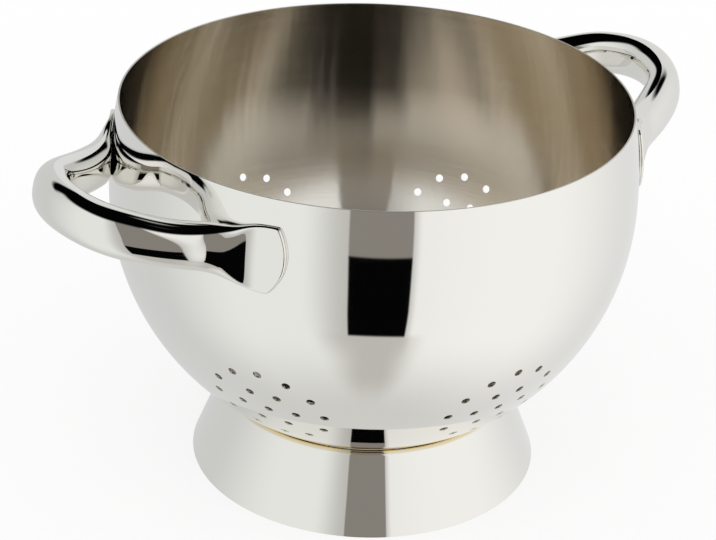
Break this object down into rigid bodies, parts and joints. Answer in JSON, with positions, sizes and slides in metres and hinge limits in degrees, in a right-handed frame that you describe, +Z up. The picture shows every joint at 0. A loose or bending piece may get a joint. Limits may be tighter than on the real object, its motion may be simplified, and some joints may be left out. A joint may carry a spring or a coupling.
{
  "type": "colander",
  "caption": "Deep round colander of stainless steel on a flared foot ring, with rosettes of drain holes and a welded loop handle on each side.",
  "frame": {"origin": "centre of the circle on which the foot ring stands", "axes": "+Z up along the bowl's axis, +X from the bowl's axis to the middle of the right handle"},
  "size_m": [0.3454, 0.2494, 0.1885],
  "materials": {
    "bowl_steel": "mirror polished outside, brushed round and round inside",
    "foot_steel": "mirror polished",
    "handle_steel": "mirror polished"
  },
  "bodies": {
    "root": {"bowl": "bowl_steel", "foot_ring": "foot_steel", "handle_left": "handle_steel", "handle_right": "handle_steel"}
  },
  "joints": []
}
